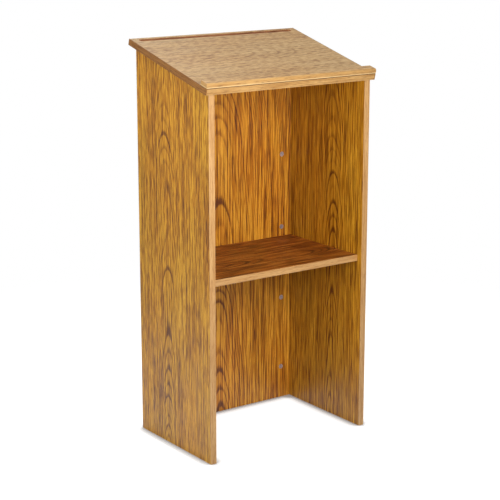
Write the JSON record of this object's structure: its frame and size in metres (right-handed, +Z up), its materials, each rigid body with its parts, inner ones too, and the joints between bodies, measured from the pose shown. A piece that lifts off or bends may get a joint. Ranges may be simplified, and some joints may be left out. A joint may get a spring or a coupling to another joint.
{
  "type": "stand-up lectern",
  "caption": "Free-standing wood-laminate lectern with a sloped reading board, paper stop, pencil groove, open storage compartment and leg space.",
  "frame": {"origin": "on the floor, under the middle of the bounding box", "axes": "+Z up; +Y from the speaker's open side towards the audience; +X to the speaker's right"},
  "size_m": [0.584, 0.4, 1.168],
  "materials": {
    "side_laminate": "medium-oak laminate on particle board, vertical grain, satin",
    "audience_laminate": "medium-oak laminate on particle board, vertical grain, satin",
    "shelf_laminate": "medium-oak laminate on particle board, grain across the width, satin",
    "board_laminate": "medium-oak laminate on particle board, grain across the width, satin",
    "side_edge_band": "oak-grain edge band, eased edges, satin",
    "board_edge_band": "oak-grain edge band, eased edges, satin",
    "stop_laminate": "oak-grain wrapped strip, rounded front edge, satin",
    "zinc_cam": "die-cast zinc, nickel plated, dull",
    "plated_steel": "zinc-plated steel, satin",
    "beech_dowel": "raw beech"
  },
  "bodies": {
    "root": {"audience_panel": "audience_laminate", "audience_panel_bolt_left_1": "plated_steel", "audience_panel_bolt_left_2": "plated_steel", "audience_panel_bolt_left_3": "plated_steel", "audience_panel_bolt_left_4": "plated_steel", "audience_panel_bolt_right_1": "plated_steel", "audience_panel_bolt_right_2": "plated_steel", "audience_panel_bolt_right_3": "plated_steel", "audience_panel_bolt_right_4": "plated_steel", "audience_panel_cam_left_1": "zinc_cam", "audience_panel_cam_left_2": "zinc_cam", "audience_panel_cam_left_3": "zinc_cam", "audience_panel_cam_left_4": "zinc_cam", "audience_panel_cam_right_1": "zinc_cam", "audience_panel_cam_right_2": "zinc_cam", "audience_panel_cam_right_3": "zinc_cam", "audience_panel_cam_right_4": "zinc_cam", "audience_panel_dowel_left_1": "beech_dowel", "audience_panel_dowel_left_2": "beech_dowel", "audience_panel_dowel_right_1": "beech_dowel", "audience_panel_dowel_right_2": "beech_dowel", "board_bolt_left_1": "plated_steel", "board_bolt_left_2": "plated_steel", "board_bolt_right_1": "plated_steel", "board_bolt_right_2": "plated_steel", "board_cam_left_1": "zinc_cam", "board_cam_left_2": "zinc_cam", "board_cam_right_1": "zinc_cam", "board_cam_right_2": "zinc_cam", "board_dowel_left": "beech_dowel", "board_dowel_right": "beech_dowel", "board_front_band": "board_edge_band", "board_left_band": "board_edge_band", "board_rear_band": "board_edge_band", "board_right_band": "board_edge_band", "left_side_front_band": "side_edge_band", "left_side_panel": "side_laminate", "left_side_rear_band": "side_edge_band", "paper_stop": "stop_laminate", "reading_board": "board_laminate", "right_side_front_band": "side_edge_band", "right_side_panel": "side_laminate", "right_side_rear_band": "side_edge_band", "shelf_bolt_left_1": "plated_steel", "shelf_bolt_left_2": "plated_steel", "shelf_bolt_right_1": "plated_steel", "shelf_bolt_right_2": "plated_steel", "shelf_cam_left_1": "zinc_cam", "shelf_cam_left_2": "zinc_cam", "shelf_cam_right_1": "zinc_cam", "shelf_cam_right_2": "zinc_cam", "shelf_dowel_left": "beech_dowel", "shelf_dowel_right": "beech_dowel", "shelf_front_band": "board_edge_band", "stop_screw_1": "plated_steel", "stop_screw_2": "plated_steel", "stop_screw_3": "plated_steel", "storage_shelf": "shelf_laminate"}
  },
  "joints": []
}
